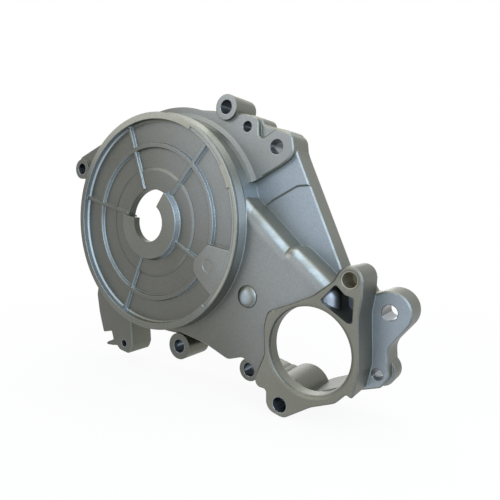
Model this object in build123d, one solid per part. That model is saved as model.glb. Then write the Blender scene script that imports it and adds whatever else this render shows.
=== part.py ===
from build123d import *
import os
from math import acos, cos, degrees, radians, sin

# Stator cover: one die cast aluminium cover for the generator side of a small engine.
# It is drawn lying on its sealing face: X and Y in that face, Z the height above it,
# with the crankshaft axis at X = Y = 0. At the end it is stood up as it is bolted on
# the engine, with the sealing face at Y = 0 and the outside towards -Y.

# Heights above the sealing face
RIM_HEIGHT = 46.0
FLOOR_DEPTH = 4.6
FLOOR_HEIGHT = RIM_HEIGHT - FLOOR_DEPTH
INNER_FLOOR_STEP = 1.1
HUB_RISE = 0.6
HUB_HEIGHT = RIM_HEIGHT + HUB_RISE
RIB_RISE = 2.4
RIB_HEIGHT = FLOOR_HEIGHT + RIB_RISE
PAD_DROP = 0.8
PAD_HEIGHT = RIM_HEIGHT - PAD_DROP
LIP_DEPTH = 1.0
SHOULDER_DROP = 9.0
SHOULDER_HEIGHT = RIM_HEIGHT - SHOULDER_DROP
SEAT_RISE = 4.0
SEAT_HEIGHT = SHOULDER_HEIGHT + SEAT_RISE
PLATE_HEIGHT = 21.0
STEP_DROP = 4.0
STEP_HEIGHT = PLATE_HEIGHT - STEP_DROP
LOWER_STEP_DROP = 1.2
LOWER_STEP_HEIGHT = STEP_HEIGHT - LOWER_STEP_DROP
EAR_DROP = 2.0
EAR_HEIGHT = PLATE_HEIGHT - EAR_DROP
BOSS_RISE = 2.0
BOSS_HEIGHT = PLATE_HEIGHT + BOSS_RISE
TOP_BOSS_RISE = 2.6
TOP_BOSS_HEIGHT = PLATE_HEIGHT + TOP_BOSS_RISE
CORNER_WALL_HEIGHT = 20.0
JOINT_FLANGE_HEIGHT = 9.0
EAR_FOOT_HEIGHT = 12.0

# Walls and casting radii
WALL = 4.6
FLOOR_WALL = 4.4
BELLY_WALL = 5.3
PILLAR_WALL = 4.2
WIDE_PILLAR_WALL = 9.8
EDGE = 1.0
SMALL_EDGE = 0.5
BELLY_EDGE = 8.0
ROOT_RADIUS = 4.0
FLOOR_BACK = FLOOR_HEIGHT - FLOOR_WALL
CHAMBER_HEIGHT = SHOULDER_HEIGHT - BELLY_WALL
BURIED = 1.0

# Drum with its round, recessed front
RIM_RADIUS = 75.0
RIM_WIDTH = 4.6
RIM_INNER_RADIUS = RIM_RADIUS - RIM_WIDTH
RIM_DEPTH = 2.4
RIM_ROOT = 1.0
LIP_WIDTH = 2.3
LIP_RADIUS = RIM_RADIUS - LIP_WIDTH
STEP_WIDTH = 0.8
DRUM_RADIUS = RIM_RADIUS - STEP_WIDTH
SHOULDER_WIDTH = 1.8
SHOULDER_RADIUS = DRUM_RADIUS + SHOULDER_WIDTH
DRUM_WALL = 4.8
DRUM_CAVITY_RADIUS = DRUM_RADIUS - DRUM_WALL
LEDGE_WIDTH = 8.3
LEDGE_RADIUS = DRUM_RADIUS + LEDGE_WIDTH
RING_RIB_RADIUS = 53.2
RING_RIB_WIDTH = 2.8
RIB_WIDTH = 2.2
RIB_DRAFT = 14.0
INNER_FLOOR_RADIUS = 37.4
RIB_ANGLES = (45.5, 107.0, 164.5, 245.3, 329.0)
LIP_ARCS = ((29.8, 58.0), (-48.0, 17.4))

# Crankshaft opening: a raised hub, cut back to the floor over one sector
HUB_RADIUS = 25.2
HUB_BORE_RADIUS = 13.5
HUB_RECESS_RADIUS = 21.5
HUB_WALL = 5.1
HUB_DRAFT = 18.0
WINDOW_RADIUS = 23.2
WINDOW_START = 52.5
WINDOW_END = 166.0

# Flat pad inside the rim, in the ring's gap
RING_GAP_START = -40.0
RING_GAP_END = -15.0
PAD_MARK_RADIUS = 4.2
PAD_MARK_PLACE = (51.6, -27.4)
MARK_DEPTH = 0.4

# Bolt holes
BOLT_HOLE_RADIUS = 4.6
SMALL_HOLE_RADIUS = 3.4
LUG_HOLE_RADIUS = 2.8
DOWEL_HOLE_RADIUS = 5.0
HOLE_BEVEL = 0.5
LEFT_BOLT = (-101.7, 44.4)
TOP_BOLT = (50.8, 76.3)
LOBE_BOLT_1 = (65.9, 62.4)
LOBE_BOLT_2 = (87.9, 47.6)
EAR_BOLT_1 = (160.3, -49.8)
EAR_BOLT_2 = (153.9, -86.0)
FLANGE_BOLT = (102.3, -108.2)
LOWER_BOLT = (68.6, -97.9)
DOWEL_BOLT = (6.3, -91.6)
LUG_BOLT = (-55.8, -99.5)
TOP_BOSS_RADIUS = 8.4
LEFT_BOSS_RADIUS = 8.2
EAR_END_RADIUS = 12.4
EAR_FOOT_RADIUS = 8.7
LOWER_BOSS_RADIUS = 7.7
DOWEL_BOSS_RADIUS = 9.8

# Starter motor seat
STARTER_CENTRE = (120.5, -72.8)
STARTER_BORE_RADIUS = 25.65
STARTER_LEAD_IN = 2.2
STARTER_SCREW = (145.1, -30.0)
STARTER_BOSS_RADIUS = 7.5
STARTER_SCREW_RADIUS = 4.4
STARTER_SCREW_DEPTH = 16.0
STARTER_SPOT_RADIUS = 5.4
POCKET_WALL = 4.2
SEAT_MARK_PLACE = (98.2, -50.6)
SEAT_MARK_RADIUS = 1.8

# Cored dimple in the belly
DIMPLE_PLACE = (76.4, -46.0)
DIMPLE_RADIUS = 7.3
DIMPLE_DEPTH = 3.6
DIMPLE_WALL = 3.0

# Inside
STATOR_SCREW_RADIUS = 2.6
STATOR_SCREW_DEPTH = 9.0
STATOR_BOSS_RADIUS = 6.0
STATOR_CIRCLE_RADIUS = 36.0
STATOR_BOSS_DEPTH = 7.0
STATOR_BOSSES = 3
STATOR_FIRST_ANGLE = 76.0
STIFFENERS = 6
STIFFENER_FIRST_ANGLE = 46.0
STIFFENER_START_RADIUS = 30.0
STIFFENER_WIDTH = 3.0
STIFFENER_DEPTH = 4.0

# Outlines seen from the front: x, y and the radius of each corner
LEFT_WEB = (
    (-107.6, 54.2, 5.0),
    (-79.0, 63.8, 0.0),
    (-24.0, 78.9, 0.0),
    (-40.0, 45.0, 0.0),
    (-74.0, 36.2, 0.0),
    (-107.0, 36.2, 5.0),
)
FOOT = (
    (-70.0, -20.0, 0.0),
    (-83.5, -40.0, 12.0),
    (-88.9, -61.5, 8.0),
    (-86.4, -77.0, 20.0),
    (-81.6, -93.4, 1.2),
    (-71.6, -91.2, 1.5),
    (-69.5, -98.4, 1.6),
    (-62.0, -105.6, 4.0),
    (-50.0, -107.6, 5.0),
    (-46.4, -100.0, 5.0),
    (-47.6, -80.0, 3.0),
    (-30.0, -60.0, 0.0),
)
TOP_PLATE = (
    (20.0, 50.0, 0.0),
    (24.0, 78.4, 0.0),
    (50.0, 74.0, 4.0),
    (66.0, 70.4, 2.0),
    (74.2, 67.0, 6.0),
    (74.2, 53.0, 3.0),
    (80.6, 55.6, 2.0),
    (88.0, 59.2, 6.0),
    (99.0, 54.5, 7.0),
    (100.4, 41.6, 8.0),
    (90.5, 35.6, 20.0),
    (71.0, 26.6, 0.0),
    (40.0, 14.0, 0.0),
)
SIDE_PLATE = (
    (40.0, 60.0, 0.0),
    (66.0, 70.8, 3.0),
    (75.0, 67.6, 6.0),
    (76.4, 62.8, 3.0),
    (88.0, 59.6, 4.0),
    (96.0, 57.2, 6.0),
    (101.2, 41.6, 12.0),
    (132.2, -32.0, 6.0),
    (150.0, -42.0, 0.0),
    (120.0, -70.0, 0.0),
    (50.0, 0.0, 0.0),
)
LOWER_STEP = (
    (44.0, -10.0, 0.0),
    (79.6, 12.6, 3.0),
    (100.6, 22.6, 5.0),
    (114.0, 23.0, 0.0),
    (140.0, 16.0, 0.0),
    (160.0, -46.0, 0.0),
    (120.0, -90.0, 0.0),
)
BELLY = (
    (30.0, 10.0, 0.0),
    (70.0, 18.5, 4.0),
    (87.4, 1.8, 30.0),
    (128.6, -38.3, 0.0),
    (140.0, -80.0, 0.0),
    (100.0, -95.0, 0.0),
    (83.0, -97.0, 3.0),
    (79.6, -89.2, 4.0),
    (72.0, -85.4, 5.0),
    (60.5, -88.8, 7.0),
    (42.0, -81.2, 12.0),
    (21.0, -76.8, 0.0),
    (0.0, -60.0, 0.0),
)
# The shelf's rounded edges are those whose middle has a larger sum of x and y
SHELF_MIDDLE = 68.0
SHELF = (
    (88.0, -30.0, 0.0),
    (103.5, -10.0, 9.0),
    (136.4, -38.0, 9.0),
    (136.4, -60.0, 0.0),
    (110.0, -60.0, 0.0),
)
SKIRT = (
    (60.0, -50.0, 0.0),
    (128.0, -32.0, 0.0),
    (145.0, -35.0, 4.0),
    (149.0, -42.0, 5.0),
    (148.8, -54.0, 20.0),
    (148.8, -82.0, 10.0),
    (146.0, -93.0, 4.0),
    (137.0, -98.0, 8.0),
    (121.6, -104.2, 20.0),
    (104.0, -114.0, 6.0),
    (93.4, -111.0, 6.0),
    (92.4, -101.6, 3.0),
    (84.6, -100.4, 3.0),
    (82.0, -92.0, 0.0),
    (70.0, -70.0, 0.0),
)
CORNER_WALL = (
    (62.0, -66.0, 0.0),
    (63.0, -95.0, 4.0),
    (76.0, -98.0, 5.0),
    (84.0, -100.0, 6.0),
    (93.0, -103.0, 0.0),
    (98.0, -66.0, 0.0),
)
JOINT_FLANGE = (
    (-20.0, -70.0, 0.0),
    (-16.0, -82.4, 6.0),
    (-4.0, -90.0, 6.0),
    (20.0, -90.6, 10.0),
    (50.0, -92.6, 20.0),
    (62.0, -97.0, 6.0),
    (76.0, -100.0, 0.0),
    (76.0, -70.0, 0.0),
    (40.0, -60.0, 0.0),
)
PAD = (
    (38.4, -29.8, 5.0),
    (40.6, -23.6, 4.0),
    (51.4, -13.8, 3.0),
    (75.0, -18.2, 0.0),
    (60.0, -52.0, 0.0),
    (43.0, -36.4, 3.0),
)
SEAT = (
    (93.4, -52.6, 6.0),
    (109.0, -46.6, 20.0),
    (123.4, -40.2, 20.0),
    (135.6, -31.0, 6.0),
    (139.4, -24.8, 0.0),
    (152.8, -29.6, 0.0),
    (152.2, -40.0, 16.0),
    (150.3, -50.0, 20.0),
    (151.0, -80.0, 10.0),
    (147.4, -95.4, 1.4),
    (143.8, -93.4, 1.5),
    (137.4, -99.8, 10.0),
    (122.4, -105.4, 20.0),
    (104.4, -116.2, 7.0),
    (92.4, -113.0, 7.0),
    (92.4, -100.8, 2.5),
    (84.6, -100.4, 4.0),
    (84.6, -94.0, 6.0),
    (91.2, -79.4, 10.0),
    (90.6, -62.0, 20.0),
)
POCKET = (
    (137.2, -32.8, 1.5),
    (127.6, -42.8, 1.6),
    (144.4, -53.8, 3.0),
    (147.0, -53.2, 1.5),
    (147.6, -39.6, 1.2),
    (142.4, -38.0, 2.5),
)
# The ear's two long sides meet far outside it, where the corner radius makes its round end
EAR = (
    (128.0, -40.4, 0.0),
    (150.5, -40.5, 4.0),
    (203.1, -18.1, EAR_END_RADIUS),
    (159.4, -70.2, 10.0),
    (160.0, -80.0, 6.0),
    (160.6, -87.4, 6.0),
    (156.0, -93.8, 4.0),
    (144.6, -97.4, 2.0),
    (128.0, -92.0, 0.0),
)
FINGER = (
    (-66.0, -96.6, 0.0),
    (-76.8, -101.2, 0.8),
    (-78.4, -103.4, 0.9),
    (-70.0, -103.0, 0.0),
    (-62.0, -102.0, 0.0),
)
FINGER_THICKNESS = 3.0

# Bosses that stand up from the sealing face: place, radius, height
BOSSES = (
    (LEFT_BOLT, LEFT_BOSS_RADIUS, BOSS_HEIGHT),
    (TOP_BOLT, TOP_BOSS_RADIUS, TOP_BOSS_HEIGHT),
    (DOWEL_BOLT, DOWEL_BOSS_RADIUS, BOSS_HEIGHT),
    (LOWER_BOLT, LOWER_BOSS_RADIUS, BOSS_HEIGHT),
)

# Through holes for the bolts: place, radius, height of the face, metal kept round the hole inside
BOLT_HOLES = (
    (LEFT_BOLT, BOLT_HOLE_RADIUS, BOSS_HEIGHT, PILLAR_WALL),
    (TOP_BOLT, BOLT_HOLE_RADIUS, TOP_BOSS_HEIGHT, PILLAR_WALL),
    (LOBE_BOLT_1, SMALL_HOLE_RADIUS, PLATE_HEIGHT, PILLAR_WALL),
    (LOBE_BOLT_2, BOLT_HOLE_RADIUS, PLATE_HEIGHT, PILLAR_WALL),
    (EAR_BOLT_1, BOLT_HOLE_RADIUS, EAR_HEIGHT, PILLAR_WALL),
    (EAR_BOLT_2, SMALL_HOLE_RADIUS, EAR_HEIGHT, PILLAR_WALL),
    (FLANGE_BOLT, BOLT_HOLE_RADIUS, SEAT_HEIGHT, WIDE_PILLAR_WALL),
    (LOWER_BOLT, BOLT_HOLE_RADIUS, BOSS_HEIGHT, PILLAR_WALL),
    (DOWEL_BOLT, DOWEL_HOLE_RADIUS, BOSS_HEIGHT, PILLAR_WALL),
    (LUG_BOLT, LUG_HOLE_RADIUS, PLATE_HEIGHT, PILLAR_WALL),
)


def outline(corners):
    """Closed flat shape from corners given as x, y and corner radius."""
    points = [(x, y) for x, y, _ in corners]
    radii = [radius for _, _, radius in corners]
    return make_face(FilletPolyline(*points, radius=radii, close=True))


def disc(place, radius):
    return Pos(place[0], place[1]) * Circle(radius)


def prism(shape, low, high, edge=0.0):
    """Straight block over a flat shape, with its top edge broken."""
    block = extrude(Pos(0, 0, low) * shape, high - low)
    if edge > 0:
        block = chamfer(block.faces().sort_by(Axis.Z)[-1].edges(), edge)
    return block


def rod(place, radius, low, high):
    block = Cylinder(radius, high - low, align=(Align.CENTER, Align.CENTER, Align.MIN))
    return Pos(place[0], place[1], low) * block


def turned(profile, place=(0, 0)):
    """Solid of revolution about an upright axis, from radius and height pairs."""
    section = make_face(Plane.XZ * Polyline(*profile, close=True))
    return Pos(place[0], place[1]) * revolve(section, Axis.Z)


def sector(start, end, reach, low, high):
    """Wedge about the crankshaft axis between two angles, less than a half turn apart."""
    half = radians(end - start) / 2
    side = reach / cos(half)
    turns = [(start, side), ((start + end) / 2, 2 * side), (end, side)]
    corners = [(length * cos(radians(angle)), length * sin(radians(angle))) for angle, length in turns]
    return extrude(Pos(0, 0, low) * make_face(Polyline((0, 0), *corners, close=True)), high - low)


def spread(rise, draft):
    """How far a drafted side leans out over its height."""
    return rise * sin(radians(draft))


def drafted_bar(start_radius, end_radius, angle, low, high):
    """Radial rib: a straight bar with tapered sides."""
    half = RIB_WIDTH / 2
    foot = half + spread(high - low, RIB_DRAFT)
    corners = [(0, -foot, low), (0, foot, low), (0, half, high), (0, -half, high)]
    section = Polyline(*corners, close=True)
    bar = extrude(Pos(start_radius, 0, 0) * make_face(section), end_radius - start_radius, dir=(1, 0, 0))
    return Rot(0, 0, angle) * bar


def turned_copies(shape, count, first_angle):
    """Evenly spaced copies round the crankshaft axis."""
    copies = Rot(0, 0, first_angle) * shape
    for number in range(1, count):
        copies += Rot(0, 0, first_angle + number * 360 / count) * shape
    return copies


def arc_points(centre, radius, first_angle, last_angle, steps):
    """Points on an arc in a profile, ends included."""
    turn = last_angle - first_angle
    angles = [radians(first_angle + turn * step / steps) for step in range(steps + 1)]
    return [(centre[0] + radius * cos(a), centre[1] + radius * sin(a)) for a in angles]


def drum_shell():
    """Round drum: recessed floor, rim, small step below it, shoulder and wall down to the ledge."""
    step = RIM_HEIGHT - RIM_DEPTH
    return turned([
        (0, 0),
        (0, FLOOR_HEIGHT),
        (RIM_INNER_RADIUS - RIM_ROOT, FLOOR_HEIGHT),
        (RIM_INNER_RADIUS, FLOOR_HEIGHT + RIM_ROOT),
        (RIM_INNER_RADIUS, RIM_HEIGHT),
        (RIM_RADIUS - SMALL_EDGE, RIM_HEIGHT),
        (RIM_RADIUS, RIM_HEIGHT - SMALL_EDGE),
        (RIM_RADIUS, step),
        (DRUM_RADIUS, step),
        (SHOULDER_RADIUS, SHOULDER_HEIGHT),
        (DRUM_RADIUS, SHOULDER_HEIGHT - 2 * SHOULDER_WIDTH),
        (DRUM_RADIUS, 0),
    ])


def ledge():
    """Low ring round the drum, with a rounded root where the drum's wall rises from it."""
    root_centre = (DRUM_RADIUS + ROOT_RADIUS, PLATE_HEIGHT + ROOT_RADIUS)
    return turned([
        (0, 0),
        (0, PLATE_HEIGHT + ROOT_RADIUS),
        *arc_points(root_centre, ROOT_RADIUS, 180, 270, 2),
        (LEDGE_RADIUS, PLATE_HEIGHT),
        (LEDGE_RADIUS, 0),
    ])


def rim_lip():
    """Shallow steps in the rim's inner edge, over two stretches."""
    low, high = RIM_HEIGHT - LIP_DEPTH, RIM_HEIGHT + BURIED
    ring = rod((0, 0), LIP_RADIUS, low, high)
    cuts = [sector(start, end, RIM_RADIUS, low - BURIED, high + BURIED) for start, end in LIP_ARCS]
    ring = (ring & cuts[0]) + (ring & cuts[1])
    return ring - rod((0, 0), RIM_INNER_RADIUS - BURIED, low, high)


def front_relief():
    """What stands on the drum's floor: inner floor, ring rib and radial ribs."""
    low = FLOOR_HEIGHT - BURIED
    inner_floor = turned([
        (0, low),
        (INNER_FLOOR_RADIUS + INNER_FLOOR_STEP, low),
        (INNER_FLOOR_RADIUS + INNER_FLOOR_STEP, FLOOR_HEIGHT),
        (INNER_FLOOR_RADIUS - INNER_FLOOR_STEP, FLOOR_HEIGHT + INNER_FLOOR_STEP),
        (0, FLOOR_HEIGHT + INNER_FLOOR_STEP),
    ])
    half = RING_RIB_WIDTH / 2
    foot = half + spread(RIB_HEIGHT - low, RIB_DRAFT)
    ring = turned([
        (RING_RIB_RADIUS - foot, low),
        (RING_RIB_RADIUS + foot, low),
        (RING_RIB_RADIUS + half, RIB_HEIGHT),
        (RING_RIB_RADIUS - half, RIB_HEIGHT),
    ])
    ring -= sector(RING_GAP_START, RING_GAP_END, RIM_RADIUS, 0, RIM_HEIGHT)
    relief = inner_floor + ring
    for angle in RIB_ANGLES:
        relief += drafted_bar(HUB_RADIUS - BURIED, RIM_INNER_RADIUS + BURIED, angle, low, RIB_HEIGHT)
    return relief


def hub():
    """Raised ring round the crankshaft opening, left out over the window sector."""
    foot_radius = HUB_RADIUS + spread(HUB_HEIGHT - FLOOR_HEIGHT, HUB_DRAFT)
    ring = turned([
        (0, FLOOR_HEIGHT - BURIED),
        (foot_radius, FLOOR_HEIGHT - BURIED),
        (foot_radius, FLOOR_HEIGHT),
        (HUB_RADIUS, HUB_HEIGHT),
        (0, HUB_HEIGHT),
    ])
    floor_level = FLOOR_HEIGHT + INNER_FLOOR_STEP
    return ring - sector(WINDOW_START, WINDOW_END, RIM_RADIUS, floor_level, HUB_HEIGHT + BURIED)


def pad():
    """Flat pad that fills the gap in the ring rib and runs out to the rim."""
    block = prism(outline(PAD), FLOOR_HEIGHT - BURIED, PAD_HEIGHT)
    block &= rod((0, 0), RIM_INNER_RADIUS + BURIED, 0, RIM_HEIGHT)
    return block - rod(PAD_MARK_PLACE, PAD_MARK_RADIUS, PAD_HEIGHT - MARK_DEPTH, RIM_HEIGHT)


def crank_opening():
    """Hole through the hub, recessed behind, and cut to its full width over the window sector."""
    low, high = FLOOR_BACK - BURIED, HUB_HEIGHT + BURIED
    window = rod((0, 0), WINDOW_RADIUS, low, high)
    window &= sector(WINDOW_START, WINDOW_END, RIM_RADIUS, low - BURIED, high + BURIED)
    recess = rod((0, 0), HUB_RECESS_RADIUS, low, HUB_HEIGHT - HUB_WALL)
    return rod((0, 0), HUB_BORE_RADIUS, low, high) + window + recess


def plates():
    """The low plates round the drum: ledge, left web, foot, ear, and the stepped right side."""
    side, top, lower = outline(SIDE_PLATE), outline(TOP_PLATE), outline(LOWER_STEP)
    over = PLATE_HEIGHT + ROOT_RADIUS + BURIED
    body = ledge() - prism(side - top, STEP_HEIGHT, over)
    body -= prism(lower, LOWER_STEP_HEIGHT, over)
    body += prism(side, 0, LOWER_STEP_HEIGHT, EDGE)
    body += prism(side - lower, 0, STEP_HEIGHT, EDGE)
    for corners in (TOP_PLATE, LEFT_WEB, FOOT):
        body += prism(outline(corners), 0, PLATE_HEIGHT, EDGE)
    body += prism(outline(FINGER), PLATE_HEIGHT - FINGER_THICKNESS, PLATE_HEIGHT - SMALL_EDGE)
    body += prism(outline(EAR), 0, EAR_HEIGHT, EDGE)
    body += prism(disc(EAR_BOLT_2, EAR_FOOT_RADIUS), 0, EAR_FOOT_HEIGHT)
    body += prism(outline(CORNER_WALL), 0, CORNER_WALL_HEIGHT)
    body += prism(outline(JOINT_FLANGE), 0, JOINT_FLANGE_HEIGHT)
    return body


def belly():
    """Gear housing right of the drum, its upper side well rounded and its lower side less."""
    body = extrude(outline(BELLY), SHOULDER_HEIGHT)
    top_edges = body.faces().sort_by(Axis.Z)[-1].edges()
    right_edges = top_edges.filter_by(lambda edge: edge.center().X > DRUM_RADIUS)
    upper_side = right_edges.filter_by(lambda edge: edge.center().Y > STARTER_SCREW[1])
    body = fillet(upper_side, BELLY_EDGE)
    top_edges = body.faces().sort_by(Axis.Z)[-1].edges()
    lower_side = top_edges.filter_by(lambda edge: edge.center().Y < STARTER_CENTRE[1])
    return chamfer(lower_side, EDGE)


def shelf():
    """Second bulge of the gear housing, which runs on under the starter seat."""
    body = extrude(outline(SHELF), SHOULDER_HEIGHT)
    top_edges = body.faces().sort_by(Axis.Z)[-1].edges()
    outer_side = top_edges.filter_by(lambda edge: edge.center().X + edge.center().Y > SHELF_MIDDLE)
    return fillet(outer_side, BELLY_EDGE)


def starter_seat():
    """Flange for the starter motor, with its screw boss and the wall below it."""
    body = extrude(outline(SKIRT), EAR_HEIGHT)
    flange = outline(SEAT) + disc(STARTER_SCREW, STARTER_BOSS_RADIUS)
    body += prism(flange, EAR_HEIGHT - EDGE, SEAT_HEIGHT, EDGE)
    body -= prism(outline(POCKET), EAR_HEIGHT, SEAT_HEIGHT + BURIED)
    return body


def outside():
    """Every outer form of the casting, still solid inside."""
    body = plates() + belly() + starter_seat() + shelf()
    body += drum_shell()
    body += front_relief()
    body += hub()
    body += pad()
    body -= rim_lip()
    for place, radius, height in BOSSES:
        body += rod(place, radius, 0, height)
    return body


def insets(*outlines):
    """The flat space inside these outlines, each one wall thickness in."""
    space = Sketch()
    for corners in outlines:
        space += offset(outline(corners), -WALL)
    return space


def hollows():
    """Every hollow that opens at the sealing face, with the bolt pillars left standing."""
    low_top = LOWER_STEP_HEIGHT - WALL
    deck_top = PLATE_HEIGHT - WALL
    round_part = Circle(LEDGE_RADIUS - WALL)
    housing = insets(BELLY, SHELF, SKIRT)
    deck = round_part - outline(SIDE_PLATE)
    deck += insets(LEFT_WEB, FOOT, TOP_PLATE, CORNER_WALL)
    low = round_part + insets(SIDE_PLATE, EAR)
    chamber = prism(housing, -BURIED, CHAMBER_HEIGHT) - rod((0, 0), DRUM_RADIUS, deck_top, RIM_HEIGHT)
    pocket = offset(outline(POCKET), POCKET_WALL) - insets(BELLY, SHELF)
    chamber -= prism(pocket, 0, SEAT_HEIGHT)
    chamber -= rod(STARTER_SCREW, STARTER_BOSS_RADIUS, 0, SEAT_HEIGHT)
    dimple_back = SHOULDER_HEIGHT - DIMPLE_DEPTH - DIMPLE_WALL
    chamber -= rod(DIMPLE_PLACE, DIMPLE_RADIUS + DIMPLE_WALL, dimple_back, SHOULDER_HEIGHT)
    space = prism(low, -BURIED, low_top) + prism(deck, -BURIED, deck_top) + chamber
    space += rod((0, 0), DRUM_CAVITY_RADIUS, -BURIED, FLOOR_BACK)
    for place, radius, height, metal in BOLT_HOLES:
        space -= rod(place, radius + metal, -2 * BURIED, height)
    return space - stator_seats() - stiffeners()


def stator_seats():
    """Bosses on the back of the floor that the stator is screwed to."""
    low, high = FLOOR_BACK - STATOR_BOSS_DEPTH, FLOOR_BACK + BURIED
    boss = rod((STATOR_CIRCLE_RADIUS, 0), STATOR_BOSS_RADIUS, low, high)
    return turned_copies(boss, STATOR_BOSSES, STATOR_FIRST_ANGLE)


def stator_screws():
    low = FLOOR_BACK - STATOR_BOSS_DEPTH
    hole = rod((STATOR_CIRCLE_RADIUS, 0), STATOR_SCREW_RADIUS, low - BURIED, low + STATOR_SCREW_DEPTH)
    return turned_copies(hole, STATOR_BOSSES, STATOR_FIRST_ANGLE)


def stiffeners():
    """Low radial ribs on the back of the floor, out to the drum wall."""
    length = DRUM_CAVITY_RADIUS + BURIED - STIFFENER_START_RADIUS
    depth = STIFFENER_DEPTH + BURIED
    rib = Box(length, STIFFENER_WIDTH, depth, align=(Align.MIN, Align.CENTER, Align.MIN))
    rib = Pos(STIFFENER_START_RADIUS, 0, FLOOR_BACK - STIFFENER_DEPTH) * rib
    return turned_copies(rib, STIFFENERS, STIFFENER_FIRST_ANGLE)


def bevelled_hole(place, radius, low, face):
    """Round hole up through a face, with a bevelled mouth."""
    return turned([
        (0, low),
        (radius, low),
        (radius, face - HOLE_BEVEL),
        (radius + 2 * HOLE_BEVEL, face + HOLE_BEVEL),
        (0, face + HOLE_BEVEL),
    ], place)


def starter_bore():
    """Bore for the starter motor's nose, with a well rounded mouth."""
    wide = STARTER_BORE_RADIUS + STARTER_LEAD_IN
    lead_in = arc_points((wide, SEAT_HEIGHT - STARTER_LEAD_IN), STARTER_LEAD_IN, 180, 90, 2)
    low, high = CHAMBER_HEIGHT - BURIED, SEAT_HEIGHT + BURIED
    profile = [(0, low), (STARTER_BORE_RADIUS, low), *lead_in, (wide, high), (0, high)]
    return turned(profile, STARTER_CENTRE)


def dimple():
    """Shallow round hollow in the belly's front."""
    ball_radius = (DIMPLE_RADIUS ** 2 + DIMPLE_DEPTH ** 2) / (2 * DIMPLE_DEPTH)
    centre_height = SHOULDER_HEIGHT - DIMPLE_DEPTH + ball_radius
    reach = degrees(acos((ball_radius - DIMPLE_DEPTH) / ball_radius))
    bowl = arc_points((0, centre_height), ball_radius, -90, -90 + reach, 3)
    return turned([*bowl, (0, SHOULDER_HEIGHT)], DIMPLE_PLACE)


def machining():
    """Everything drilled, bored or cored from the front, and the stator's screw holes."""
    cuts = crank_opening() + starter_bore() + dimple() + stator_screws()
    screw_low = SEAT_HEIGHT - STARTER_SCREW_DEPTH
    cuts += bevelled_hole(STARTER_SCREW, STARTER_SCREW_RADIUS, screw_low, SEAT_HEIGHT)
    mark_height = SEAT_HEIGHT - MARK_DEPTH
    cuts += rod(STARTER_SCREW, STARTER_SPOT_RADIUS, mark_height, SEAT_HEIGHT + BURIED)
    cuts += rod(SEAT_MARK_PLACE, SEAT_MARK_RADIUS, mark_height, SEAT_HEIGHT + BURIED)
    for place, radius, height, _ in BOLT_HOLES:
        cuts += rod(place, radius, -BURIED, height + BURIED)
    return cuts


casting = outside() - hollows() - machining()
casting = Rot(90, 0, 0) * casting
os.makedirs("parts", exist_ok=True)
export_step(casting, "parts/stator_cover.step")
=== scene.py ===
import bmesh
import bpy
import math
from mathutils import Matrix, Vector


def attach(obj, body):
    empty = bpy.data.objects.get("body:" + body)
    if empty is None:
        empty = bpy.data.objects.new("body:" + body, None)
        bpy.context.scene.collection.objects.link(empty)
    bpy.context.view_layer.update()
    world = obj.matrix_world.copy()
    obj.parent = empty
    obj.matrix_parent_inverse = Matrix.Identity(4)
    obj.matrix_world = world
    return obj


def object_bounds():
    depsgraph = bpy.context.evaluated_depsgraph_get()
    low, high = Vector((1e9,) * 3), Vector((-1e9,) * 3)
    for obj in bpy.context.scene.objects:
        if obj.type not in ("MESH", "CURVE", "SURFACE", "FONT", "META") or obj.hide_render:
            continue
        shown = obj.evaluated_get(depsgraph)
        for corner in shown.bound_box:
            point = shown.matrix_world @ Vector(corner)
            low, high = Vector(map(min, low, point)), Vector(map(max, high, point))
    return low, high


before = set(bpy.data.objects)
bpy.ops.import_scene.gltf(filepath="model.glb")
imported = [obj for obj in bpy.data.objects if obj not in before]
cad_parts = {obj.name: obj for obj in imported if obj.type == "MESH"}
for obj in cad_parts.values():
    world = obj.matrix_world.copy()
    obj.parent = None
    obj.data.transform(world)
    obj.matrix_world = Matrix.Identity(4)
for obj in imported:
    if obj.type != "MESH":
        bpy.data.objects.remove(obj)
cad_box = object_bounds()

# Camera, found from the photograph: metres and degrees in the object's own frame
CAMERA_PLACE = (0.23796, -0.27613, 0.00366)
CAMERA_TURN = 33.67
CAMERA_DOWN = 4.03
CAMERA_NEAR = 0.01
CAMERA_FAR = 50.0
LENS = 33.55
SENSOR = 36.0

# Bolt holes: x and z of the axis, and the radius round it that is machined
HOLES = (
    (-0.1017, 0.0444, 0.0049),
    (0.0508, 0.0763, 0.0049),
    (0.0659, 0.0624, 0.0037),
    (0.0879, 0.0476, 0.0049),
    (0.1603, -0.0498, 0.0049),
    (0.1539, -0.0860, 0.0037),
    (0.1023, -0.1082, 0.0049),
    (0.0686, -0.0979, 0.0049),
    (0.0063, -0.0916, 0.0053),
    (-0.0558, -0.0995, 0.0031),
)

# More round spots, each with x, z and radius. First the hole for the starter's screw
SCREW_HOLE = (0.1451, -0.0300, 0.0047)

# Upper left part of the two bores in the ear, which lies in shade
EAR_BORE_TOPS = ((0.1543, -0.0468, 0.0055), (0.1495, -0.0838, 0.0040))

# Inside of the gear chamber, seen through the starter's bore, where shade is painted
CHAMBER = (0.1120, -0.0800, 0.0300)

# Pocket beside the starter's screw, with a painted highlight on its mound, and the starter's bore
# next to it
POCKET = (0.1370, -0.0445, 0.0120)
STARTER_BORE = (0.1205, -0.0728, 0.0280)

# Rounding of the cast edges, and radii round the crank axis
EDGE_RADIUS = 0.0008
EDGE_SAMPLES = 6
DRUM_REACH = 0.0785
FLOOR_STEP = 0.0374
HUB_OPENING = 0.0237

# Domed boss on the gear housing, over the end of a gear's shaft
DOME_PLACE = (0.0764, -0.0460)
DOME_BASE_HEIGHT = 0.0370
DOME_RADIUS = 0.0072
DOME_RISE = 0.0032
DOME_ROOT = 0.0037
DOME_RINGS = 14
DOME_SIDES = 48
MERGE_DISTANCE = 1e-6

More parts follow.
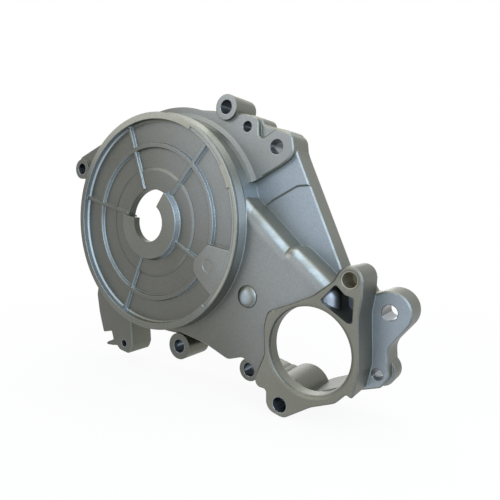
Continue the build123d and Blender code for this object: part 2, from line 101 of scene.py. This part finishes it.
# Limits: a mask is 0 below the first number and 1 above the second.
# These are of one part of the surface's unit normal
FLAT_FACING = (0.75, 0.97)
LEVEL_FACING = (0.93, 0.998)
MOUND_FACING = (0.45, 0.85)
SLOPE_FACING = (0.20, 0.55)
RIGHT_FACING = (0.15, 0.50)
FULL_RIGHT_FACING = (0.86, 0.99)
LEFT_FACING = (0.15, 0.60)
TOP_FACING = (0.30, 0.85)
DOWN_FACING = (0.0, 0.5)

# Heights over the sealing face, in metres: limits of masks, and two single heights
STEPPED_PLATE_FOOT = (0.0125, 0.0145)
STEPPED_PLATE_TOP = (0.0185, 0.0205)
LOW_PLATE_HEIGHT = (0.0225, 0.0260)
CHAMBER_HEIGHT = (0.0300, 0.0310)
SEAT_HEIGHT = (0.0375, 0.0385)
DOME_CROWN_HEIGHT = (DOME_BASE_HEIGHT + 0.0016, DOME_BASE_HEIGHT + 0.0034)
POCKET_TOP = 0.0390
STEP_WALL_TOP = 0.0416
RIM_WALL_TOP = (0.0425, 0.0435)
RAISED_HEIGHT = (0.0440, 0.0446)
FULL_RIM_HEIGHT = (0.0454, 0.0458)

# Limits of places across and up, and of distances from the crank axis or from the floor's step
BRIGHT_SIDE = (0.0, 0.105)
FAR_PLATE_SIDE = (0.060, 0.110)
SEAT_ACROSS = (0.078, 0.082)
FAR_WALL_ACROSS = (0.120, 0.135)
LEFT_RIM_ACROSS = (-0.074, -0.045)
RIM_FACE_ACROSS = (0.050, 0.060)
SHELF_ACROSS = (0.078, 0.102)
RIM_FACE_UP = (0.03, 0.07)
LOBES_UP = (0.046, 0.052)
SHOULDER_BOTTOM_UP = (-0.050, -0.020)
SHOULDER_TOP_UP = (0.005, 0.030)
RIM_INNER_RADII = (0.0700, 0.0704)
OUTER_WALL_RADII = (0.0730, 0.0734)
RIM_EDGE_RADII = (0.0738, 0.0742)
STEP_WIDTH = (0.0010, 0.0020)

# How strongly a mask acts where it is full
FAR_PLATE_SHARE = 0.9
RIM_FACE_SHARE = 0.9
WALL_SHARE = 0.85
TOP_SHARE = 0.8
FAR_WALL_SHARE = 0.5
LIT_EDGE_SHARE = 0.9
LIT_WALL_SHARE = 0.70
DULL_WALL_SHARE = 0.9
DULL_RIM_SHARE = 0.75
DULL_STEP_SHARE = 0.9
DIM_SEAT_SHARE = 0.75
DIM_LOW_SHARE = 0.6
SHINE_SHARE = 0.9
SHADE_SHARE = 0.8
CROWN_SHARE = 0.8
BORE_TOP_SHARE = 0.85

# Least value of a factor that rises to 1
BLOTCH_LEAST = 0.60
SHELF_LEAST = 0.5
FLOOR_WHITE_LEAST = 0.92

# How much of the way up counts in the way to the right, for the painted light that grows brighter
# to the right
UP_IN_SIDE = 0.5

# Noises: scale and detail of each, and the limits of its mask
CLOUD = (28.0, 3.0)
CLOUD_LIMITS = (0.35, 0.65)
BLOTCH = (150.0, 3.0)
BLOTCH_LIMITS = (0.35, 0.62)
GRAIN = (900.0, 2.0)
GRAIN_LIMITS = (0.3, 0.7)
COARSE = (260.0, 3.0)

# Fine relief of the cast surface, in which the grain counts by its own share
GRAIN_IN_RELIEF = 0.5
BUMP_STRENGTH = 0.22
BUMP_DISTANCE = 0.00025

METALLIC = 0.85
CAST_ROUGHNESS = (0.36, 0.50)
BORE_ROUGHNESS = 0.12

# Tints, by which a colour is multiplied
# Painted light on the raised rim and hub
RAISED_LIGHT_TINT = (1.22, 1.22, 1.22)
# Painted shade inside the gear chamber
CHAMBER_SHADE_TINT = (0.62, 0.62, 0.60)
CLOUD_TINT = (1.08, 1.08, 1.10)
GRAIN_TINT = (0.90, 0.90, 0.90)

# Floor, which grows whiter with the distance from its middle
FLOOR_SIZE = 6.0
FLOOR_MIDDLE = (0.03, 0.0)
FLOOR_GAP = 0.0002
FLOOR_COLOUR = (0.86, 0.86, 0.86)
FLOOR_WHITE_REACH = (0.15, 0.55)

WHITE = (1.0, 1.0, 1.0)
WHITE_STRENGTH = 1.0
WORLD_LIGHT = (0.93, 0.96, 1.0)
WORLD_STRENGTH = 0.45

# Lamps, aimed at one point on the cover: name, place, size, power and colour
LAMP_TARGET = (0.03, -0.02, -0.01)
LAMPS = (
    ("key", (-0.45, -0.85, 0.65), (0.6, 0.6), 2.5, (1.0, 0.98, 0.93)),
    ("window", (0.90, -0.52, 0.44), (0.8, 0.9), 8.0, (0.80, 0.90, 1.0)),
    ("rear", (-0.65, 0.95, 0.12), (1.0, 1.0), 5.0, (0.97, 0.98, 1.0)),
    ("top", (0.10, 0.15, 0.90), (0.9, 0.6), 4.0, (1.0, 0.98, 0.92)),
)


def srgb(red, green, blue):
    """Linear colour from 0 to 255 display values."""
    def linear(value):
        value /= 255
        return value / 12.92 if value <= 0.04045 else ((value + 0.055) / 1.055) ** 2.4
    return (linear(red), linear(green), linear(blue))


WARM = srgb(102, 103, 97)
# Painted light: the paler, bluer grey that the faces take towards the upper right
LIT_GREY = srgb(143, 148, 149)
SEAT = srgb(124, 125, 116)
# Painted light, bluish, on the far plate
LIT_BLUE = srgb(152, 165, 176)
# Painted light on the rim face
RIM_FACE = srgb(156, 157, 147)
# Painted shade on walls
SHADED_OLIVE = srgb(102, 103, 92)
# Painted light on what faces up
TOP = srgb(138, 140, 130)
# Painted shade on the wall of the floor's step
STEP_WALL = srgb(84, 85, 80)
# Painted shade
PAINTED_SHADE = srgb(72, 74, 68)
# Painted highlight, bluish, on what faces right
SHINE = srgb(166, 181, 190)
# Painted highlight on the mound in the pocket
POCKET_SHINE = srgb(168, 181, 198)
MACHINED = srgb(142, 150, 156)
BORE_TOP = srgb(46, 48, 49)
# Machined thread, made paler with a painted reflection
THREAD_AND_SHEEN = srgb(176, 174, 160)


class Nodes:
    """Short way to add the nodes of a material or a world, and to join them."""

    def __init__(self, owner):
        owner.use_nodes = True
        self.tree = owner.node_tree
        self.tree.nodes.clear()

    def add(self, kind, **settings):
        node = self.tree.nodes.new(kind)
        for name, value in settings.items():
            setattr(node, name, value)
        return node

    def join(self, source, target):
        self.tree.links.new(source, target)

    def feed(self, socket, value):
        """Join the socket to another one, or give it a colour or a number."""
        if isinstance(value, bpy.types.NodeSocket):
            self.join(value, socket)
        elif isinstance(value, tuple):
            socket.default_value = (*value, 1.0)
        else:
            socket.default_value = value

    def math(self, operation, first, second=0.0, clamp=False):
        node = self.add("ShaderNodeMath", operation=operation, use_clamp=clamp)
        self.feed(node.inputs[0], first)
        self.feed(node.inputs[1], second)
        return node.outputs[0]

    def product(self, first, *others):
        for other in others:
            first = self.math("MULTIPLY", first, other)
        return first

    def largest(self, first, *others):
        for other in others:
            first = self.math("MAXIMUM", first, other)
        return first

    def inverse(self, share):
        return self.math("SUBTRACT", 1.0, share)

    def rise(self, share, least):
        """Factor that goes from least to 1 as the share goes from 0 to 1."""
        return self.math("ADD", self.product(share, 1.0 - least), least)

    def ramp(self, value, limits):
        """0 below the first limit, 1 above the second, smooth between."""
        node = self.add("ShaderNodeMapRange", interpolation_type="SMOOTHSTEP")
        node.inputs["From Min"].default_value = limits[0]
        node.inputs["From Max"].default_value = limits[1]
        self.join(value, node.inputs["Value"])
        return node.outputs["Result"]

    def blend(self, share, first, second, mode="MIX"):
        """Mix of two colours."""
        node = self.add("ShaderNodeMix", data_type="RGBA", blend_type=mode)
        colours = [socket for socket in node.inputs if socket.type == "RGBA"]
        self.feed(node.inputs["Factor"], share)
        self.feed(colours[0], first)
        self.feed(colours[1], second)
        return next(socket for socket in node.outputs if socket.type == "RGBA")

    def tinted(self, colour, tint):
        return self.blend(1.0, colour, tint, "MULTIPLY")

    def noise(self, place, texture):
        scale, detail = texture
        node = self.add("ShaderNodeTexNoise")
        node.inputs["Scale"].default_value = scale
        node.inputs["Detail"].default_value = detail
        self.join(place, node.inputs["Vector"])
        return node.outputs[0]

    def glow(self, kind, colour, strength):
        """Emission or background of one colour."""
        node = self.add(kind)
        self.feed(node.inputs["Color"], colour)
        node.inputs["Strength"].default_value = strength
        return node

    def seen_rays(self):
        """1 for rays of the camera, of reflections and through glass, 0 for light on the object."""
        path = self.add("ShaderNodeLightPath")
        rays = ("Is Camera Ray", "Is Glossy Ray", "Is Transmission Ray")
        return self.largest(*(path.outputs[name] for name in rays))

    def mix_out(self, kind, share, first, second):
        """Mix of two shaders, joined to an output of this kind."""
        mixed = self.add("ShaderNodeMixShader")
        self.join(share, mixed.inputs[0])
        self.join(first.outputs[0], mixed.inputs[1])
        self.join(second.outputs[0], mixed.inputs[2])
        output = self.add(kind)
        self.join(mixed.outputs[0], output.inputs["Surface"])


class Surface:
    """Where a point of the casting lies and which way it faces, as values and masks."""

    def __init__(self, nodes):
        self.nodes = nodes
        self.place = nodes.add("ShaderNodeTexCoord").outputs["Object"]
        axes = nodes.add("ShaderNodeSeparateXYZ")
        nodes.join(self.place, axes.inputs[0])
        self.across, depth, self.up = axes.outputs
        self.height = nodes.product(depth, -1.0)
        self.side = nodes.math("ADD", self.across, nodes.product(self.up, UP_IN_SIDE))
        self.radius = nodes.math("SQRT", self.square_distance(0.0, 0.0))

        # Which way it faces, with the sharp edges rounded off
        edge = nodes.add("ShaderNodeBevel", samples=EDGE_SAMPLES)
        edge.inputs["Radius"].default_value = EDGE_RADIUS
        self.normal = edge.outputs[0]
        facing = nodes.add("ShaderNodeSeparateXYZ")
        nodes.join(self.normal, facing.inputs[0])
        self.right, inward, self.top = facing.outputs
        self.outward = nodes.product(inward, -1.0)
        self.walls = nodes.inverse(nodes.ramp(nodes.math("ABSOLUTE", self.outward), FLAT_FACING))
        self.rightward = nodes.ramp(self.right, RIGHT_FACING)
        self.slope = nodes.product(self.rightward, nodes.ramp(self.outward, SLOPE_FACING))

        # Parts of the cover
        self.drum = nodes.math("LESS_THAN", self.radius, DRUM_REACH)
        in_opening = nodes.math("LESS_THAN", self.radius, HUB_OPENING)
        self.opening = nodes.product(in_opening, self.walls)
        over_seat = nodes.ramp(self.height, SEAT_HEIGHT)
        self.seat = nodes.product(over_seat, nodes.ramp(self.across, SEAT_ACROSS))
        off_step = nodes.math("ABSOLUTE", nodes.math("SUBTRACT", self.radius, FLOOR_STEP))
        near_step = nodes.inverse(nodes.ramp(off_step, STEP_WIDTH))
        self.step = nodes.product(near_step, nodes.math("LESS_THAN", self.height, STEP_WALL_TOP))

    def square_distance(self, x, z):
        """Square of the distance from an axis at x and z that runs along the crank axis."""
        dx = self.nodes.math("SUBTRACT", self.across, x)
        dz = self.nodes.math("SUBTRACT", self.up, z)
        return self.nodes.math("ADD", self.nodes.product(dx, dx), self.nodes.product(dz, dz))

    def spots(self, *spots):
        """1 inside each spot's radius, 0 elsewhere."""
        inside = [
            self.nodes.math("LESS_THAN", self.square_distance(x, z), radius * radius)
            for x, z, radius in spots
        ]
        return self.nodes.largest(*inside)


def face_colour(nodes, at):
    """Warm grey to the left and painted light to the right, paler and bluer there; the seat
    differs, and the far plate and the raised rim and hub get more painted light.
    """
    # Painted light: paler and bluer towards the upper right, where the light falls
    colour = nodes.blend(nodes.ramp(at.side, BRIGHT_SIDE), WARM, LIT_GREY)
    colour = nodes.blend(at.seat, colour, SEAT)

    # Painted light: the far plate made paler and bluer, as if lit by bluish light from the right
    over_foot = nodes.ramp(at.height, STEPPED_PLATE_FOOT)
    stepped = nodes.math("SUBTRACT", over_foot, nodes.ramp(at.height, STEPPED_PLATE_TOP))
    under_lobes = nodes.inverse(nodes.ramp(at.up, LOBES_UP))
    far_plate = nodes.product(stepped, under_lobes, nodes.ramp(at.side, FAR_PLATE_SIDE))
    colour = nodes.blend(nodes.product(far_plate, FAR_PLATE_SHARE), colour, LIT_BLUE)

    # Painted light: the raised rim and hub made paler, except at the far left
    raised = nodes.product(at.drum, nodes.ramp(at.height, RAISED_HEIGHT))
    raised_share = nodes.product(raised, nodes.ramp(at.across, LEFT_RIM_ACROSS))
    colour = nodes.blend(raised_share, colour, nodes.tinted(colour, RAISED_LIGHT_TINT))
    # Painted light: the rim face made paler on its upper and right part
    ring = nodes.product(raised, nodes.ramp(at.radius, RIM_INNER_RADII))
    full_rim = nodes.product(ring, nodes.ramp(at.height, FULL_RIM_HEIGHT))
    upper = nodes.largest(nodes.ramp(at.up, RIM_FACE_UP), nodes.ramp(at.across, RIM_FACE_ACROSS))
    return nodes.blend(nodes.product(full_rim, upper, RIM_FACE_SHARE), colour, RIM_FACE)


def wall_colour(nodes, at, colour):
    """Painted shade on walls, olive; painted light, paler, where they face up; painted shade,
    darker, at the floor's step and far right.
    """
    # Painted shade: walls olive and duller than the faces
    colour = nodes.blend(nodes.product(at.walls, WALL_SHARE), colour, SHADED_OLIVE)
    # Painted light: what faces up made paler, as lit from above
    upward = nodes.product(nodes.ramp(at.top, TOP_FACING), nodes.inverse(at.step))
    colour = nodes.blend(nodes.product(upward, TOP_SHARE), colour, TOP)
    # Painted shade: the wall of the floor's step made darker
    tilt = nodes.inverse(nodes.ramp(at.outward, LEVEL_FACING))
    colour = nodes.blend(nodes.product(at.step, tilt), colour, STEP_WALL)
    # Painted shade: walls at the far right made darker
    far_wall = nodes.product(at.rightward, at.walls, nodes.ramp(at.across, FAR_WALL_ACROSS))
    return nodes.blend(nodes.product(far_wall, FAR_WALL_SHARE), colour, PAINTED_SHADE)


def drum_shine(nodes, at):
    """Mask of the painted highlight on what faces right on the drum, less on its outer wall, rim
    edge and floor step.
    """
    under_rim = nodes.inverse(nodes.ramp(at.height, RIM_WALL_TOP))
    outer_wall = nodes.product(nodes.ramp(at.radius, OUTER_WALL_RADII), under_rim)
    over_bottom = nodes.ramp(at.up, SHOULDER_BOTTOM_UP)
    shoulder = nodes.math("SUBTRACT", over_bottom, nodes.ramp(at.up, SHOULDER_TOP_UP))
    lit_edge = nodes.product(at.slope, shoulder, LIT_EDGE_SHARE)
    lit_wall = nodes.product(nodes.ramp(at.right, FULL_RIGHT_FACING), LIT_WALL_SHARE)
    unlit = nodes.inverse(nodes.largest(lit_edge, lit_wall))
    dull_wall = nodes.product(outer_wall, unlit, DULL_WALL_SHARE)
    over_wall = nodes.ramp(at.height, RIM_WALL_TOP)
    rim_edge = nodes.product(nodes.ramp(at.radius, RIM_EDGE_RADII), over_wall)
    dull_rim = nodes.product(rim_edge, DULL_RIM_SHARE)
    dull_step = nodes.product(at.step, DULL_STEP_SHARE)
    dull = nodes.largest(dull_wall, dull_rim, dull_step)
    return nodes.product(at.drum, nodes.inverse(dull), at.rightward)


def slope_shine(nodes, at):
    """Mask of the painted highlight on the slopes outside the drum: blotchy, and it grows to the
    right.
    """
    low = nodes.inverse(nodes.ramp(at.height, LOW_PLATE_HEIGHT))
    dim_seat = nodes.product(at.seat, DIM_SEAT_SHARE)
    dim = nodes.largest(dim_seat, nodes.product(low, DIM_LOW_SHARE), at.drum)
    outside = nodes.product(at.slope, nodes.inverse(dim))
    blotch = nodes.ramp(nodes.noise(at.place, BLOTCH), BLOTCH_LIMITS)
    growing = nodes.rise(nodes.ramp(at.across, SHELF_ACROSS), SHELF_LEAST)
    return nodes.product(outside, nodes.product(nodes.rise(blotch, BLOTCH_LEAST), growing))


def lit_colour(nodes, at, colour):
    """Painted highlight, bright and blue, where it faces right; painted shade, dark, where it faces
    left and in the hub's opening.
    """
    # Painted highlight: what faces right made bright and bluish, as a reflection of the light
    shine = nodes.largest(slope_shine(nodes, at), drum_shine(nodes, at))
    shine = nodes.product(shine, at.walls, nodes.inverse(at.opening))
    colour = nodes.blend(nodes.product(shine, SHINE_SHARE), colour, SHINE)
    # Painted shade: what faces left and the hub's opening made darker
    leftward = nodes.ramp(nodes.product(at.right, -1.0), LEFT_FACING)
    shade = nodes.largest(at.opening, leftward)
    return nodes.blend(nodes.product(shade, SHADE_SHARE), colour, PAINTED_SHADE)


def local_colour(nodes, at, colour):
    """Painted highlights on the dome's crown and on the mound in the pocket, and painted shade
    inside the gear chamber.
    """
    # Painted highlight on the dome's crown
    dome = at.spots((*DOME_PLACE, DOME_RADIUS))
    crown = nodes.product(dome, nodes.ramp(at.height, DOME_CROWN_HEIGHT))
    colour = nodes.blend(nodes.product(crown, CROWN_SHARE), colour, SHINE)

    # Painted highlight: the mound in the pocket made bright and bluish
    under_seat = nodes.math("LESS_THAN", at.height, POCKET_TOP)
    pocket = nodes.product(at.spots(POCKET), under_seat)
    pocket = nodes.math("SUBTRACT", pocket, at.spots(STARTER_BORE), clamp=True)
    mound = nodes.product(pocket, nodes.ramp(at.outward, MOUND_FACING))
    colour = nodes.blend(mound, colour, POCKET_SHINE)

    # Painted shade: the inside of the gear chamber made darker
    inside = nodes.inverse(nodes.ramp(at.height, CHAMBER_HEIGHT))
    chamber = nodes.product(at.spots(CHAMBER), inside)
    return nodes.blend(chamber, colour, nodes.tinted(colour, CHAMBER_SHADE_TINT))


def uneven_colour(nodes, colour, cloud, grain):
    """Paler by the large noise and darker by the fine one."""
    paler = nodes.tinted(colour, CLOUD_TINT)
    colour = nodes.blend(nodes.ramp(cloud, CLOUD_LIMITS), colour, paler)
    darker = nodes.tinted(colour, GRAIN_TINT)
    return nodes.blend(nodes.ramp(grain, GRAIN_LIMITS), darker, colour)


def bore_colour(nodes, at, bore, colour):
    """Machined bores with painted shade on their upper side, and the thread of the starter's screw,
    made paler with a painted reflection.
    """
    colour = nodes.blend(bore, colour, MACHINED)
    downward = nodes.ramp(nodes.product(at.top, -1.0), DOWN_FACING)
    shaded = nodes.largest(downward, at.spots(*EAR_BORE_TOPS))
    colour = nodes.blend(nodes.product(bore, shaded, BORE_TOP_SHARE), colour, BORE_TOP)
    # Machined thread and painted reflection: the screw's hole paler than the bores
    return nodes.blend(at.spots(SCREW_HOLE), colour, THREAD_AND_SHEEN)


def uneven_roughness(nodes, bore, cloud):
    """Satin on the cast surface, a little uneven, and smooth in the bores."""
    cast = nodes.add("ShaderNodeMapRange")
    cast.inputs["To Min"].default_value = CAST_ROUGHNESS[0]
    cast.inputs["To Max"].default_value = CAST_ROUGHNESS[1]
    nodes.join(cloud, cast.inputs["Value"])
    roughness = nodes.add("ShaderNodeMix", data_type="FLOAT")
    nodes.join(bore, roughness.inputs["Factor"])
    nodes.join(cast.outputs["Result"], roughness.inputs["A"])
    roughness.inputs["B"].default_value = BORE_ROUGHNESS
    return roughness.outputs[0]


def grainy_normal(nodes, at, grain):
    """The blasted surface's fine relief, over the rounded edges."""
    fine = nodes.product(grain, GRAIN_IN_RELIEF)
    relief = nodes.math("ADD", fine, nodes.noise(at.place, COARSE))
    bump = nodes.add("ShaderNodeBump")
    bump.inputs["Strength"].default_value = BUMP_STRENGTH
    bump.inputs["Distance"].default_value = BUMP_DISTANCE
    nodes.join(relief, bump.inputs["Height"])
    nodes.join(at.normal, bump.inputs["Normal"])
    return bump.outputs[0]


def casting_material():
    """Bead-blasted aluminium die casting, with bright machined bores, and with painted light, shade
    and highlights in its colour.
    """
    material = bpy.data.materials.new("cast_aluminium")
    nodes = Nodes(material)
    at = Surface(nodes)
    cloud = nodes.noise(at.place, CLOUD)
    grain = nodes.noise(at.place, GRAIN)
    bore = at.spots(*HOLES)
    colour = face_colour(nodes, at)
    colour = wall_colour(nodes, at, colour)
    colour = lit_colour(nodes, at, colour)
    colour = local_colour(nodes, at, colour)
    colour = uneven_colour(nodes, colour, cloud, grain)
    colour = bore_colour(nodes, at, bore, colour)

    shader = nodes.add("ShaderNodeBsdfPrincipled")
    shader.inputs["Metallic"].default_value = METALLIC
    nodes.join(colour, shader.inputs["Base Color"])
    nodes.join(uneven_roughness(nodes, bore, cloud), shader.inputs["Roughness"])
    nodes.join(grainy_normal(nodes, at, grain), shader.inputs["Normal"])
    output = nodes.add("ShaderNodeOutputMaterial")
    nodes.join(shader.outputs[0], output.inputs["Surface"])
    return material


def floor_material():
    """White where the camera or a reflection sees it, pale and shadowed otherwise."""
    material = bpy.data.materials.new("pale_floor")
    nodes = Nodes(material)
    reach = nodes.add("ShaderNodeVectorMath", operation="LENGTH")
    nodes.join(nodes.add("ShaderNodeTexCoord").outputs["Object"], reach.inputs[0])
    far = nodes.ramp(reach.outputs["Value"], FLOOR_WHITE_REACH)
    share = nodes.product(nodes.seen_rays(), nodes.rise(far, FLOOR_WHITE_LEAST))
    pale = nodes.add("ShaderNodeBsdfDiffuse")
    nodes.feed(pale.inputs["Color"], FLOOR_COLOUR)
    white = nodes.glow("ShaderNodeEmission", WHITE, WHITE_STRENGTH)
    nodes.mix_out("ShaderNodeOutputMaterial", share, pale, white)
    return material


def make_floor(lowest):
    place = (*FLOOR_MIDDLE, lowest - FLOOR_GAP)
    bpy.ops.mesh.primitive_plane_add(size=FLOOR_SIZE, location=place)
    floor = bpy.context.object
    floor.name = "floor"
    floor.data.materials.append(floor_material())


def make_world():
    """White for the camera and for reflections, a dim and faintly blue light for the object."""
    world = bpy.data.worlds.new("studio")
    bpy.context.scene.world = world
    nodes = Nodes(world)
    light = nodes.glow("ShaderNodeBackground", WORLD_LIGHT, WORLD_STRENGTH)
    white = nodes.glow("ShaderNodeBackground", WHITE, WHITE_STRENGTH)
    nodes.mix_out("ShaderNodeOutputWorld", nodes.seen_rays(), light, white)


def add_cap(mesh, sign, rise):
    """Cap of a ball over the dome's edge: out of the housing for sign 1, into it for sign -1."""
    middle_x, middle_z = DOME_PLACE
    ball = (DOME_RADIUS ** 2 + rise ** 2) / (2.0 * rise)
    widest = math.asin(DOME_RADIUS / ball)
    rows = []
    for ring in range(1, DOME_RINGS + 1):
        lean = widest * ring / DOME_RINGS
        reach = ball * math.sin(lean)
        out = sign * (ball * math.cos(lean) - ball + rise)
        row = []
        for index in range(DOME_SIDES):
            turn = 2.0 * math.pi * index / DOME_SIDES
            x = middle_x + reach * math.cos(turn)
            z = middle_z + reach * math.sin(turn)
            row.append(mesh.verts.new((x, -DOME_BASE_HEIGHT - out, z)))
        rows.append(row)
    tip = mesh.verts.new((middle_x, -DOME_BASE_HEIGHT - sign * rise, middle_z))
    for index in range(DOME_SIDES):
        after = (index + 1) % DOME_SIDES
        mesh.faces.new((tip, rows[0][index], rows[0][after]))
        for inner, outer in zip(rows, rows[1:]):
            mesh.faces.new((inner[index], outer[index], outer[after], inner[after]))


def make_dome():
    """Low dome on the gear housing, closed by a deeper cap that sits in the housing's wall."""
    mesh = bmesh.new()
    add_cap(mesh, 1.0, DOME_RISE)
    add_cap(mesh, -1.0, DOME_ROOT)
    bmesh.ops.remove_doubles(mesh, verts=mesh.verts, dist=MERGE_DISTANCE)
    bmesh.ops.recalc_face_normals(mesh, faces=mesh.faces)
    data = bpy.data.meshes.new("gear_shaft_dome")
    mesh.to_mesh(data)
    mesh.free()
    for face in data.polygons:
        face.use_smooth = True
    dome = bpy.data.objects.new("gear_shaft_dome", data)
    bpy.context.collection.objects.link(dome)
    return dome


def make_lamp(name, place, size, power, colour):
    data = bpy.data.lights.new(name, "AREA")
    data.shape = "RECTANGLE"
    data.size, data.size_y = size
    data.energy = power
    data.color = colour
    lamp = bpy.data.objects.new(name, data)
    bpy.context.collection.objects.link(lamp)
    lamp.location = place
    aim = Vector(LAMP_TARGET) - Vector(place)
    lamp.rotation_euler = aim.to_track_quat("-Z", "Y").to_euler()


def make_camera():
    data = bpy.data.cameras.new("camera")
    data.sensor_width = SENSOR
    data.lens = LENS
    data.clip_start = CAMERA_NEAR
    data.clip_end = CAMERA_FAR
    camera = bpy.data.objects.new("camera", data)
    bpy.context.collection.objects.link(camera)
    camera.location = CAMERA_PLACE
    camera.rotation_euler = (math.radians(90.0 - CAMERA_DOWN), 0.0, math.radians(CAMERA_TURN))
    bpy.context.scene.camera = camera


bpy.context.scene.view_settings.view_transform = "Standard"
make_camera()
make_world()
make_floor(cad_box[0].z)
for lamp_facts in LAMPS:
    make_lamp(*lamp_facts)

casting = casting_material()
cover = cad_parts["stator_cover"]
cover.data.materials.clear()
cover.data.materials.append(casting)
dome = make_dome()
dome.data.materials.append(casting)
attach(dome, "root")
